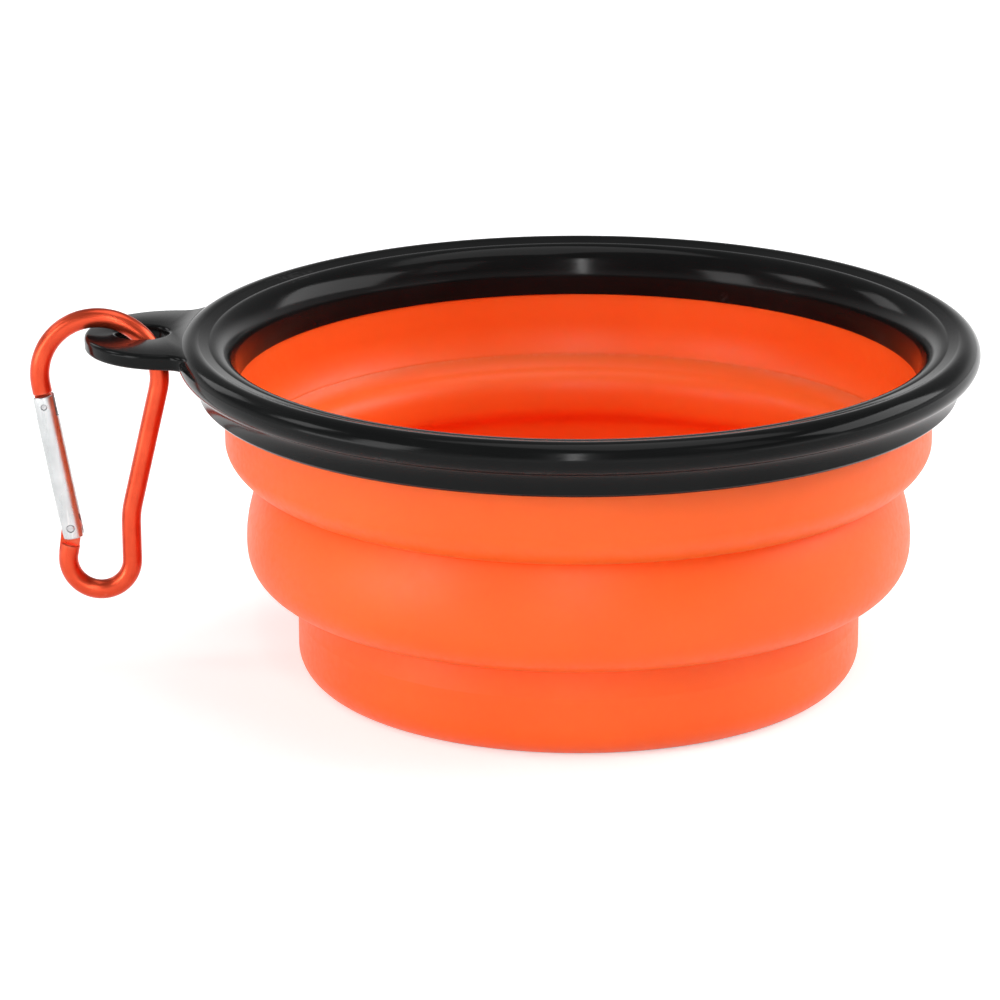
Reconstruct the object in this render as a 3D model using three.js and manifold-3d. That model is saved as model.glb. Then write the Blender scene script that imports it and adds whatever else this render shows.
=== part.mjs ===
// Collapsible pet bowl: a soft three-tier bowl in a hard rim ring, with a carabiner on the rim's tab.
// Millimetres, +Z up. The origin is the middle of the flat underside, and the tab points along -X.
import * as THREE from 'three';
import { mergeVertices } from 'three/addons/utils/BufferGeometryUtils.js';
import Module from 'manifold-3d';

const wasm = await Module();
wasm.setup();

// Bowl, outside: radii step inwards from the rim, heights add up from the underside
const rimOuterRadius = 65.3;
const rimOverhang = 7.6;
const upperStep = 3.2;
const lowerStep = 8.2;
const upperNeckDepth = 3;
const lowerNeckDepth = 0.9;
const baseTierHeight = 15.6;
const middleTierHeight = 19;
const upperTierHeight = 13.7;
const rimHeight = 9.1;
const lowerShoulderRise = 7.6;
const upperShoulderRise = 5.4;
const middleSwellHeight = 11.2;
const upperFullness = 1.65;
const lowerFullness = 2.3;
const baseTaperHeight = 5.2;
const baseFillet = 5.3;
const insideFillet = 3;

// Soft moulding
const wall = 1.8;
const neckWall = 1.6;
const floorThickness = 2.2;
const lipThickness = 1;
const seatRise = 1.2;
const flangeThickness = 1.2;
const flangeEdge = 0.6;
const neckLedge = 1.2;

// Rim section
const beadRadius = 2.65;
const skirtTaper = 3.4;
const skirtEdge = 0.5;
const rimCrestInset = 5.7;
const rimCrestDrop = 0.9;
const rimThroatDrop = 6.4;
const rimLip = 1.6;
const tongueShift = 2;
const tongueRise = 2;
const tongueLift = 0.1;
const tongueDepth = 2.2;

// Clearances
const foldGap = 0.35;
const seatGap = 0.3;
const pinGap = 0.08;
const boreGap = 0.15;
const latchGap = 0.25;
const hangGap = 0.75;

// Hanging tab
const tabReach = 15.2;
const tabEndRadius = 14.3;
const tabDrop = 0.6;
const tabThickness = 2.6;
const tabEdge = 0.5;
const tabBridge = 5.15;
const tabHoleRoom = 2.65;
const tabRootFillet = 4;
const tabRootSink = 0.5;
const tabRootDepth = 4;

// Carabiner
const clipShift = -0.37;
const wireDiameter = 3.2;
const largeEndRadius = 9.8;
const smallEndRadius = 5.3;
const smallEndShift = -0.8;
const smallEndDrop = 31.45;
const gateLeanDegrees = 10.1;
const spineLeanDegrees = 13.4;
const hingeLeanDegrees = 13;
const spineBend = 16;
const hingeRun = 1.55;
const hingeReach = 3;

// Gate
const gateDiameter = 3.7;
const gateEdge = 0.2;
const noseRun = 1.35;
const pivotFromEnd = 1.9;
const rivetDiameter = 1.3;
const latchPinDiameter = 1;
const latchFromTop = 1.65;
const tongueThickness = 1.2;
const hookHalfWidth = 1.35;
const hookEnd = 0.95;
const boreDiameter = 1.9;
const boreLength = 12.5;
const plungerLength = 3;
const springWire = 0.3;
const springTurns = 11;

// Facets
const ringSteps = 48;
const wireSteps = 84;
const wireSides = 12;
const pinSides = 20;
const coilSteps = 8;
const coilSides = 5;
const cutPast = 1;

const material = {
  soft: new THREE.MeshStandardMaterial({ color: 0xfb5a28, roughness: 0.55, metalness: 0 }),
  rim: new THREE.MeshStandardMaterial({ color: 0x222425, roughness: 0.25, metalness: 0 }),
  frame: new THREE.MeshStandardMaterial({ color: 0xd8431f, roughness: 0.3, metalness: 0.8 }),
  gate: new THREE.MeshStandardMaterial({ color: 0xcfd0d0, roughness: 0.3, metalness: 0.9 }),
  steel: new THREE.MeshStandardMaterial({ color: 0xa9abad, roughness: 0.35, metalness: 0.9 }),
};

const degrees = THREE.MathUtils.radToDeg;
const radians = THREE.MathUtils.degToRad;

function point(x, y) {
  return new THREE.Vector2(x, y);
}

// Points on an elliptic arc, from one angle to another in degrees, both ends included.
function arc(x, y, radiusX, radiusY, from, to, steps) {
  const points = [];
  for (let i = 0; i <= steps; i += 1) {
    const angle = radians(from + ((to - from) * i) / steps);
    points.push(point(x + radiusX * Math.cos(angle), y + radiusY * Math.sin(angle)));
  }
  return points;
}

function circle(radius, sides) {
  return new THREE.Shape(arc(0, 0, radius, radius, 0, 360, sides).slice(1));
}

// Turns a section drawn as radius and height about the vertical axis.
function turned(section, steps) {
  return new THREE.LatheGeometry(section, steps).rotateX(Math.PI / 2);
}

// The same for a ring, whose section closes on itself.
function turnedRing(section) {
  return turned([...section, section[0].clone()], ringSteps);
}

function toSolid(geometry) {
  const bare = geometry.clone();
  bare.deleteAttribute('normal');
  bare.deleteAttribute('uv');
  const joined = mergeVertices(bare, 1e-4);
  const corners = joined.index.array;
  const triangles = [];
  for (let i = 0; i < corners.length; i += 3) {
    const [a, b, c] = [corners[i], corners[i + 1], corners[i + 2]];
    if (a !== b && b !== c && c !== a) {
      triangles.push(a, b, c);
    }
  }
  return new wasm.Manifold(new wasm.Mesh({
    numProp: 3,
    vertProperties: Float32Array.from(joined.attributes.position.array),
    triVerts: Uint32Array.from(triangles),
  }));
}

function toGeometry(solid) {
  const mesh = solid.getMesh();
  const geometry = new THREE.BufferGeometry();
  geometry.setAttribute('position', new THREE.BufferAttribute(Float32Array.from(mesh.vertProperties), 3));
  geometry.setIndex(new THREE.BufferAttribute(Uint32Array.from(mesh.triVerts), 1));
  geometry.computeVertexNormals();
  return geometry;
}

function piece(name, geometry, look) {
  const mesh = new THREE.Mesh(geometry, look);
  mesh.name = name;
  return mesh;
}

// A flat plate drawn in X and Z, centred on the XZ plane.
function plate(shape, thickness) {
  const geometry = new THREE.ExtrudeGeometry(shape, { depth: thickness, bevelEnabled: false });
  return geometry.rotateX(Math.PI / 2).translate(0, thickness / 2, 0);
}

// A round pin along Y.
function pinAlongY(diameter, length) {
  return new THREE.CylinderGeometry(diameter / 2, diameter / 2, length, pinSides);
}

// A round rod along Z, between two heights.
function rodAlongZ(diameter, from, to, sides) {
  const geometry = new THREE.CylinderGeometry(diameter / 2, diameter / 2, to - from, sides);
  return geometry.rotateX(Math.PI / 2).translate(0, 0, (from + to) / 2);
}

// A plate's outline with round ends, from one point to another.
function strip(from, to, halfWidth) {
  const along = degrees(to.clone().sub(from).angle());
  return new THREE.Shape([
    ...arc(to.x, to.y, halfWidth, halfWidth, along - 90, along + 90, 10),
    ...arc(from.x, from.y, halfWidth, halfWidth, along + 90, along + 270, 10),
  ]);
}

// Tiers
const upperOuterRadius = rimOuterRadius - rimOverhang;
const upperInnerRadius = upperOuterRadius - wall;
const middleOuterRadius = upperOuterRadius - upperStep;
const middleInnerRadius = middleOuterRadius - wall;
const baseOuterRadius = middleOuterRadius - lowerStep;
const baseInnerRadius = baseOuterRadius - wall;
const upperNeckRadius = middleOuterRadius - upperNeckDepth;
const upperNeckInnerRadius = upperNeckRadius - neckWall;
const lowerNeckRadius = baseOuterRadius - lowerNeckDepth;
const lowerNeckInnerRadius = lowerNeckRadius - neckWall;
const lowerNeckHeight = baseTierHeight;
const upperNeckHeight = lowerNeckHeight + middleTierHeight;
const rimBottomHeight = upperNeckHeight + upperTierHeight;
const rimTopHeight = rimBottomHeight + rimHeight;
const lowerShoulderHeight = lowerNeckHeight + lowerShoulderRise;
const upperShoulderHeight = upperNeckHeight + upperShoulderRise;
const tongueStart = rimBottomHeight + tongueLift;
const tongueTop = tongueStart + tongueRise + tongueDepth;

// A tier's rounded bottom, between two distances out from its neck. A fullness of 2 is an ellipse.
function shoulder(neck, topZ, width, rise, fullness, from, to, steps) {
  const points = [];
  const start = Math.acos((from / width) ** (fullness / 2));
  const end = Math.acos((to / width) ** (fullness / 2));
  for (let i = 0; i <= steps; i += 1) {
    const angle = start + ((end - start) * i) / steps;
    const reach = width * Math.cos(angle) ** (2 / fullness);
    const drop = rise * Math.sin(angle) ** (2 / fullness);
    points.push(point(neck + reach, topZ - drop));
  }
  return points;
}

// A curve from one point down to another that leaves steeply and arrives level.
function easing(from, to, steps) {
  const points = [];
  for (let i = 0; i <= steps; i += 1) {
    const t = i / steps;
    points.push(point(from.x + (to.x - from.x) * t, to.y + (from.y - to.y) * (1 - t) ** 2));
  }
  return points;
}

// Upper fold: the upper tier's lip and the middle tier's flange share one sloped seat.
const upperLipRadius = middleOuterRadius + foldGap;
const upperShoulderWidth = upperOuterRadius - upperNeckRadius;

function upperShoulder(from, to, steps) {
  return shoulder(
    upperNeckRadius,
    upperShoulderHeight,
    upperShoulderWidth,
    upperShoulderRise,
    upperFullness,
    from,
    to,
    steps,
  );
}

const upperOutside = upperShoulder(upperLipRadius - upperNeckRadius, upperShoulderWidth, 6);
const upperSeatInner = point(upperLipRadius, upperOutside[0].y + lipThickness);
const upperSeatOuter = point(upperInnerRadius, upperSeatInner.y + seatRise);

// Lower fold: the base cup's flange lies on the curved inside of the middle tier's shoulder.
const lowerLipRadius = baseOuterRadius + foldGap;
const lowerShoulderWidth = middleOuterRadius - lowerNeckRadius;
const lowerLipReach = lowerLipRadius - lowerNeckRadius;
const lowerSeatWidth = lowerShoulderWidth - wall;
const lowerSeatRise = lowerShoulderRise - lipThickness;
const baseFlangeRadius = upperNeckInnerRadius - 2 * foldGap;

function lowerShoulder(width, rise, from, to, steps) {
  return shoulder(lowerNeckRadius, lowerShoulderHeight, width, rise, lowerFullness, from, to, steps);
}

function upperBandSection() {
  const tongueOuter = upperOuterRadius + tongueShift;
  const tongueInner = upperInnerRadius + tongueShift;
  return [
    ...upperOutside,
    point(upperOuterRadius, tongueStart),
    point(tongueOuter, tongueStart + tongueRise),
    point(tongueOuter, tongueTop),
    point(tongueInner, tongueTop),
    point(tongueInner, tongueStart + tongueRise),
    point(upperInnerRadius, tongueStart),
    upperSeatOuter,
    upperSeatInner,
  ];
}

// The middle tier swells out below its neck, steeply at first.
function swell(foot, neck, steps) {
  const points = [];
  for (let i = 0; i <= steps; i += 1) {
    const t = i / steps;
    points.push(point(foot.x + (neck.x - foot.x) * t ** 2, foot.y + (neck.y - foot.y) * t));
  }
  return points;
}

function middleBandSection() {
  const seat = upperSeatOuter.clone().sub(upperSeatInner).normalize();
  const up = point(-seat.y, seat.x);
  const flangeFoot = upperSeatInner.clone().addScaledVector(up, foldGap);
  const flangeRadius = upperInnerRadius - foldGap;
  const flangeTip = flangeFoot.clone().addScaledVector(seat, (flangeRadius - flangeFoot.x) / seat.x);
  const swellFoot = upperNeckHeight - middleSwellHeight;
  const neck = point(upperNeckRadius, upperNeckHeight);
  const neckInside = point(upperNeckInnerRadius, upperNeckHeight);
  const ledge = point(upperNeckInnerRadius, upperNeckHeight + neckLedge);
  const crest = point(flangeTip.x, flangeTip.y + flangeEdge);
  return [
    ...lowerShoulder(lowerShoulderWidth, lowerShoulderRise, lowerLipReach, lowerShoulderWidth, 7),
    ...swell(point(middleOuterRadius, swellFoot), neck, 6),
    ...upperShoulder(0, upperNeckDepth, 4).slice(1),
    flangeFoot,
    flangeTip,
    ...easing(crest, ledge, 4),
    ...swell(point(middleInnerRadius, swellFoot), neckInside, 4).reverse(),
    ...lowerShoulder(lowerSeatWidth, lowerSeatRise, lowerSeatWidth, lowerLipReach, 6),
  ];
}

function baseCupSection() {
  const underWidth = lowerSeatWidth - foldGap;
  const underRise = lowerSeatRise - foldGap;
  const topRise = underRise - flangeThickness;
  const flangeReach = baseFlangeRadius - lowerNeckRadius;
  const edgeZ = lowerNeckHeight - baseTaperHeight;
  const filletX = baseOuterRadius - baseFillet;
  const insideX = baseInnerRadius - insideFillet;
  const insideZ = floorThickness + insideFillet;
  return [
    point(0, 0),
    ...arc(filletX, baseFillet, baseFillet, baseFillet, -90, 0, 4),
    point(baseOuterRadius, edgeZ),
    point(lowerNeckRadius, lowerNeckHeight),
    ...lowerShoulder(underWidth, underRise, lowerNeckDepth, flangeReach, 4),
    ...lowerShoulder(underWidth, topRise, flangeReach, lowerNeckDepth, 4),
    point(lowerNeckInnerRadius, lowerNeckHeight),
    point(baseInnerRadius, edgeZ),
    ...arc(insideX, insideZ, insideFillet, insideFillet, 0, -90, 3),
    point(0, floorThickness),
  ];
}

// The ring is a rounded bead over a coved skirt, with a slot underneath for the bowl's tongue.
function rimSection() {
  const slope = point(tongueShift, tongueRise).normalize();
  const away = point(-slope.y, slope.x).multiplyScalar(seatGap);
  const slotInner = upperInnerRadius + tongueShift - seatGap;
  const slotOuter = upperOuterRadius + tongueShift + seatGap;
  const lipInner = slotInner - rimLip;
  const steep = tongueRise / tongueShift;
  const innerLine = point(upperInnerRadius, tongueStart).add(away);
  const outerLine = point(upperOuterRadius, tongueStart).sub(away);
  const bead = arc(rimOuterRadius - beadRadius, rimTopHeight - beadRadius, beadRadius, beadRadius, -46, 138, 10);
  const skirtRadius = rimOuterRadius - skirtTaper;
  const skirtZ = rimBottomHeight + skirtEdge;
  const cove = arc(bead[0].x, skirtZ, bead[0].x - skirtRadius, bead[0].y - skirtZ, 180, 90, 4);
  const crestX = rimOuterRadius - rimCrestInset;
  const throatZ = rimTopHeight - rimThroatDrop;
  const crestRise = rimThroatDrop - rimCrestDrop;
  return [
    point(outerLine.x + (rimBottomHeight - outerLine.y) / steep, rimBottomHeight),
    point(skirtRadius - skirtEdge, rimBottomHeight),
    ...cove.slice(0, -1),
    ...bead,
    ...arc(crestX, throatZ, crestX - lipInner, crestRise, 86, 180, 6),
    point(lipInner, innerLine.y + (lipInner - innerLine.x) * steep),
    point(slotInner, innerLine.y + (slotInner - innerLine.x) * steep),
    point(slotInner, tongueTop + seatGap),
    point(slotOuter, tongueTop + seatGap),
    point(slotOuter, outerLine.y + (slotOuter - outerLine.x) * steep),
  ];
}

// The tab is a flat half-round ear with rounded edges, fused with the ring. Its concave roots touch
// the ear's round end on one side and the ring on the other.
const tabTipX = -rimOuterRadius - tabReach;
const tabTopHeight = rimTopHeight - tabDrop;
const tabHoleRadius = wireDiameter / 2 + tabHoleRoom;
const tabHoleX = tabTipX + tabBridge + tabHoleRadius;

function rimGeometry() {
  const endX = tabTipX + tabEndRadius;
  const endReach = tabEndRadius + tabRootFillet;
  const rootReach = rimOuterRadius - tabRootSink + tabRootFillet;
  const rootX = (endX ** 2 + rootReach ** 2 - endReach ** 2) / (2 * endX);
  const rootY = Math.sqrt(rootReach ** 2 - rootX ** 2);
  const leaveAngle = degrees(Math.atan2(rootY, rootX - endX));
  const meetAngle = degrees(Math.atan2(rootY, -rootX));
  const rootRadius = rimOuterRadius - tabRootDepth;
  const insideX = tabEndRadius - rootRadius;
  const outline = new THREE.Shape([
    ...arc(endX, 0, tabEndRadius, tabEndRadius, leaveAngle, 360 - leaveAngle, 28).slice(1, -1),
    ...arc(rootX, -rootY, tabRootFillet, tabRootFillet, 180 - leaveAngle, meetAngle, 6),
    point(insideX, -tabEndRadius),
    point(insideX, tabEndRadius),
    ...arc(rootX, rootY, tabRootFillet, tabRootFillet, -meetAngle, leaveAngle - 180, 6),
  ]);
  const hole = arc(tabHoleX, 0, tabHoleRadius, tabHoleRadius, 0, 360, 24);
  outline.holes.push(new THREE.Path(hole.slice(1)));
  const ear = new THREE.ExtrudeGeometry(outline, {
    depth: tabThickness - 2 * tabEdge,
    bevelEnabled: true,
    bevelThickness: tabEdge,
    bevelSize: tabEdge,
    bevelOffset: -tabEdge,
    bevelSegments: 2,
  });
  ear.translate(0, 0, tabTopHeight - tabThickness + tabEdge);
  const core = rodAlongZ(rootRadius * 2, 0, rimTopHeight * 2, ringSteps);
  return toGeometry(toSolid(turnedRing(rimSection())).add(toSolid(ear).subtract(toSolid(core))));
}

// The carabiner hangs with its large end over the tab's bridge. Its own frame is centred on that end.
const clipX = tabTipX + tabBridge / 2 + clipShift;
const clipZ = tabTopHeight - (largeEndRadius - wireDiameter / 2 - hangGap);
const gateLean = radians(gateLeanDegrees);
const spineLean = radians(spineLeanDegrees);
const hingeLean = radians(hingeLeanDegrees);
const hingeWay = point(Math.sin(hingeLean), Math.cos(hingeLean));
const smallEnd = point(smallEndShift, -smallEndDrop);
const rodEnd = point(-Math.cos(hingeLean), Math.sin(hingeLean))
  .multiplyScalar(smallEndRadius)
  .add(smallEnd)
  .addScaledVector(hingeWay, hingeRun);

// Places along the gate's axis, measured down from where it leaves the large end.
const gateStart = point(-Math.cos(gateLean), -Math.sin(gateLean)).multiplyScalar(largeEndRadius);
const gateWay = point(Math.sin(gateLean), -Math.cos(gateLean));
const pivotRun = (gateStart.y - rodEnd.y - hingeReach) / Math.cos(gateLean);
const gateTopRun = noseRun + seatGap;

function onGate(run) {
  return gateStart.clone().addScaledVector(gateWay, run);
}

// The rod runs from the nose over the large end, down the spine and round the small end to the hinge.
function frameRoute() {
  const spineTop = point(Math.cos(spineLean), -Math.sin(spineLean)).multiplyScalar(largeEndRadius);
  const straightX = smallEnd.x + smallEndRadius;
  const cut = spineBend * Math.tan(spineLean / 2);
  const bendZ = spineTop.y - (spineTop.x - straightX) / Math.tan(spineLean) - cut;
  const bend = arc(straightX + spineBend, bendZ, spineBend, spineBend, 180 - spineLeanDegrees, 180, 3);
  const route = [
    onGate(noseRun),
    onGate(noseRun / 2),
    ...arc(0, 0, largeEndRadius, largeEndRadius, 180 + gateLeanDegrees, -spineLeanDegrees, 24),
    spineTop.clone().lerp(bend[0], 0.33),
    spineTop.clone().lerp(bend[0], 0.67),
    ...bend,
    point(straightX, (bendZ + smallEnd.y) / 2),
    ...arc(smallEnd.x, smallEnd.y, smallEndRadius, smallEndRadius, 0, -180 - hingeLeanDegrees, 16),
    rodEnd.clone().addScaledVector(hingeWay, -hingeRun / 2),
    rodEnd,
  ];
  return route.map((place) => new THREE.Vector3(place.x, 0, place.y));
}

function frameGeometry() {
  const route = new THREE.CatmullRomCurve3(frameRoute(), false, 'centripetal');
  route.arcLengthDivisions = 600;
  const rod = new THREE.ExtrudeGeometry(circle(wireDiameter / 2, wireSides), {
    steps: wireSteps,
    extrudePath: route,
    bevelEnabled: false,
  });

  // Hinge tongue: as wide as the rod, flattened to go into the gate's slot.
  const pivot = onGate(pivotRun);
  const tongueRoot = rodEnd.clone().addScaledVector(hingeWay, -hingeRun);
  const tongue = plate(strip(tongueRoot, pivot, wireDiameter / 2), tongueThickness);
  const eye = pinAlongY(rivetDiameter + 2 * pinGap, wireDiameter).translate(pivot.x, 0, pivot.y);

  // Latch hook: a tongue below the nose with a notch that opens inwards.
  const latchRun = gateTopRun + latchFromTop;
  const notchHalf = latchPinDiameter / 2 + latchGap;
  const hookTip = latchRun + notchHalf + hookEnd - hookHalfWidth;
  const hook = plate(strip(onGate(noseRun / 2), onGate(hookTip), hookHalfWidth), tongueThickness);
  const inwards = point(Math.cos(gateLean), Math.sin(gateLean));
  const latch = onGate(latchRun);
  const mouth = latch.clone().addScaledVector(inwards, 2 * hookHalfWidth);
  const notch = plate(strip(latch, mouth, notchHalf), wireDiameter);

  const solid = toSolid(rod).add(toSolid(tongue)).add(toSolid(hook));
  return toGeometry(solid.subtract(toSolid(eye)).subtract(toSolid(notch)));
}

// The gate is drawn upright about its pivot, with its top towards +Z.
const gateTopZ = pivotRun - gateTopRun;
const gateBottomZ = -pivotFromEnd;
const latchZ = gateTopZ - latchFromTop;
const slotWidth = tongueThickness + 2 * seatGap;
const hingeSlotTop = wireDiameter / 2 + foldGap;
const latchSlotBottom = latchZ - latchPinDiameter / 2 - latchGap - hookEnd - foldGap;

function gateGeometry() {
  const radius = gateDiameter / 2;
  const section = [
    point(0, gateBottomZ),
    point(radius - gateEdge, gateBottomZ),
    point(radius, gateBottomZ + gateEdge),
    point(radius, gateTopZ - gateEdge),
    point(radius - gateEdge, gateTopZ),
    point(0, gateTopZ),
  ];
  const span = gateDiameter * 2;
  const lowDepth = hingeSlotTop - gateBottomZ + cutPast;
  const low = new THREE.BoxGeometry(span, slotWidth, lowDepth).translate(0, 0, hingeSlotTop - lowDepth / 2);
  const highDepth = gateTopZ - latchSlotBottom + cutPast;
  const high = new THREE.BoxGeometry(span, slotWidth, highDepth).translate(0, 0, latchSlotBottom + highDepth / 2);
  const bore = rodAlongZ(boreDiameter, 0, hingeSlotTop + boreLength, pinSides);
  const rivetHole = pinAlongY(rivetDiameter + 2 * pinGap, span);
  const latchHole = pinAlongY(latchPinDiameter + 2 * pinGap, span).translate(0, 0, latchZ);
  let solid = toSolid(turned(section, pinSides));
  for (const cutter of [low, high, bore, rivetHole, latchHole]) {
    solid = solid.subtract(toSolid(cutter));
  }
  return toGeometry(solid);
}

const plungerDiameter = boreDiameter - 2 * boreGap;
const plungerFrom = hingeSlotTop + pinGap;
const plungerTo = plungerFrom + plungerLength;
const springFrom = plungerTo + seatGap + springWire / 2;
const springTo = hingeSlotTop + boreLength - seatGap - springWire / 2;

// The plunger's nose is tapered where the spring presses it towards the hinge tongue.
function plungerGeometry() {
  const radius = plungerDiameter / 2;
  return turned([
    point(0, plungerFrom),
    point(radius - boreGap, plungerFrom),
    point(radius, plungerFrom + 2 * boreGap),
    point(radius, plungerTo),
    point(0, plungerTo),
  ], pinSides);
}

class Coil extends THREE.Curve {
  getPoint(t, target = new THREE.Vector3()) {
    const angle = t * springTurns * Math.PI * 2;
    const radius = (plungerDiameter - springWire) / 2;
    const height = springFrom + t * (springTo - springFrom);
    return target.set(radius * Math.cos(angle), radius * Math.sin(angle), height);
  }
}

function springGeometry() {
  return new THREE.ExtrudeGeometry(circle(springWire / 2, coilSides), {
    steps: springTurns * coilSteps,
    extrudePath: new Coil(),
    bevelEnabled: false,
  });
}

const bowl = new THREE.Group();

const rim = new THREE.Group();
rim.add(piece('rim_ring', rimGeometry(), material.rim));
rim.add(piece('upper_band', turnedRing(upperBandSection()), material.soft));
bowl.add(rim);

const middle = new THREE.Group();
middle.add(piece('mid_band', turnedRing(middleBandSection()), material.soft));
rim.add(middle);

const base = new THREE.Group();
base.add(piece('base_cup', turned(baseCupSection(), ringSteps), material.soft));
middle.add(base);

const carabiner = new THREE.Group();
carabiner.position.set(clipX, 0, clipZ);
carabiner.add(piece('carabiner_frame', frameGeometry(), material.frame));
rim.add(carabiner);

const gate = new THREE.Group();
const pivotPlace = onGate(pivotRun);
gate.position.set(pivotPlace.x, 0, pivotPlace.y);
gate.rotation.y = -gateLean;
gate.add(piece('carabiner_gate', gateGeometry(), material.gate));
gate.add(piece('gate_pivot_rivet', pinAlongY(rivetDiameter, gateDiameter - 2 * gateEdge), material.steel));
const latchPin = piece('gate_latch_pin', pinAlongY(latchPinDiameter, gateDiameter - 2 * gateEdge), material.steel);
latchPin.position.z = latchZ;
gate.add(latchPin);
gate.add(piece('gate_plunger', plungerGeometry(), material.steel));
gate.add(piece('gate_spring', springGeometry(), material.steel));
carabiner.add(gate);

export default bowl;
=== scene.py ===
import math

import bmesh
import bpy
from mathutils import Matrix, Vector

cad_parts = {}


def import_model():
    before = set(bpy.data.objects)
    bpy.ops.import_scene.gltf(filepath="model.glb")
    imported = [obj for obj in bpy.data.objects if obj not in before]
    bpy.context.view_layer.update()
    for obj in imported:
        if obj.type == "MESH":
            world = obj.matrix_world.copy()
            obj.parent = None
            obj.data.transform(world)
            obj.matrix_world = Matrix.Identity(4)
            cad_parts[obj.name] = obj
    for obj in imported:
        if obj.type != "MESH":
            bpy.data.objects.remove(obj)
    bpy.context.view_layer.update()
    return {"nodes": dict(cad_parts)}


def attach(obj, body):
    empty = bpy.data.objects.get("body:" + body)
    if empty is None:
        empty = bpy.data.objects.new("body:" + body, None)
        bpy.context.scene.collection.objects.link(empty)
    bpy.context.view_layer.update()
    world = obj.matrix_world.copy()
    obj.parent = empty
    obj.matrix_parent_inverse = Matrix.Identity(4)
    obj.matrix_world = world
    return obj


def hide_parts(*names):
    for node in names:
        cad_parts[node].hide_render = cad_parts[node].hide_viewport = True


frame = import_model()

MM = 0.001

# Sizes in millimetres, most of them those of the solids; the angles of a section are in degrees

# Soft wall
UPPER_R, MIDDLE_R, BASE_R = 57.7, 54.5, 46.3
UPPER_NECK_R, LOWER_NECK_R = 51.5, 45.4
UPPER_NECK_Z, LOWER_NECK_Z = 34.6, 15.6
UPPER_SHOULDER, LOWER_SHOULDER = 5.4, 7.6
UPPER_FULLNESS, LOWER_FULLNESS = 1.72, 2.38
SWELL, BASE_EDGE = 11.2, 10.4
WALL, NECK_WALL, FLOOR = 1.8, 1.6, 2.2
HOLLOW_R, HOLLOW_Z, HOLLOW_TOP = 51.0, 35.9, 44.0
NOTCH_SOFT = 0.6
LEDGE_R, LEDGE_PULL = 52.2, 2.0
BULGE_R, BULGE_Z, BULGE_FOOT_Z, BULGE_PULL = 49.6, 30.4, 25.5, 1.5
BASE_FILLET, INNER_FILLET, STRAIGHT = 5.0, 3.0, 1.0
CUP_LIP, CUP_OUTER_SOFT, CUP_INNER_SOFT = 0.3, 0.9, 1.2

# The wall's top, which steps out into the rim's slot
STEP_OUT, STEP_FOOT, STEP_HEAD = 2.0, 48.4, 50.4
WALL_TOP, LIP_SEAT = 52.6, 48.55

# Rim ring and its tab
RIM_R, RIM_BOTTOM, RIM_TOP, RIM_SOFT = 65.26, 48.3, 57.4, 0.3
BEAD, BEAD_FROM, BEAD_TO = 2.65, -46, 112
SKIRT_TAPER, SKIRT_EDGE = 3.4, 0.5
CREST_INSET, CREST_FALL, CREST_FROM, CREST_SOFT = 5.7, 5.85, 84, 1.4
THROAT_DEPTH, LIP_R, LIP_Z = 6.4, 55.5, 48.5
SLOT_FOOT, SLOT_TOP = 50.3, 52.7
TAB_TIP, TAB_R, TAB_TOP, TAB_THICK = -80.5, 14.3, 56.8, 2.6
TAB_ROOT, TAB_FILLET, TAB_SINK, TAB_EDGE = -60.6, 4.0, 0.5, 0.7
HOLE_X, HOLE_R = -71.1, 4.25

# Carabiner, drawn in XZ about the centre of its large end
CLIP = (-78.295, 49.35)
WIRE, WIRE_CHAMFER, WIRE_PITCH, MAP_LENGTH = 3.2, 0.18, 0.45, 10
LARGE_R, SMALL_R = 9.8, 5.3
SMALL_END = (-0.8, -31.45)
GATE_LEAN, SPINE_LEAN, HINGE_LEAN = math.radians(10.1), math.radians(13.4), math.radians(13.0)
SPINE_BEND, HINGE_RUN, HINGE_REACH = 16.0, 1.55, 3.0
NOSE_RUN, SEAT_GAP = 1.35, 0.3
TONGUE, PLATE_EDGE, EYE_GAP, EYE_CHAMFER = 1.2, 0.12, 0.16, 0.01
LATCH_RUN, LATCH_D, LATCH_GAP = 1.65, 1.0, 0.25
HOOK_HALF, HOOK_WALL, NOTCH_RUN = 1.35, 0.95, 2.7
GATE_D, GATE_FOOT, GATE_EDGE = 3.7, -1.9, 0.25
SLOT_ROOM, BORE_R, BORE_DEPTH = 0.35, 0.95, 12.5
RIVET_D, RIVET_SHORT, RIVET_CHAMFER = 1.3, 0.1, 0.12
LATCH_SHORT, LATCH_CHAMFER, PIN_GAP = 0.16, 0.1, 0.06

# Running gap between the soft tiers, smaller than in the solids so that the folds look closed
SOFT_GAP = 0.02

# Steps round each turned piece, and the angle from which an edge is drawn sharp
WALL_STEPS, RIM_STEPS, GATE_STEPS, WIRE_STEPS, PIN_STEPS = 192, 256, 48, 32, 32
SHARP, RIM_SHARP = 40.0, 50.0


# Sections and meshes

def arc(x, y, rx, ry, start, end, steps):
    out = []
    for i in range(steps + 1):
        a = math.radians(start + (end - start) * i / steps)
        out.append((x + rx * math.cos(a), y + ry * math.sin(a)))
    return out


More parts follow.
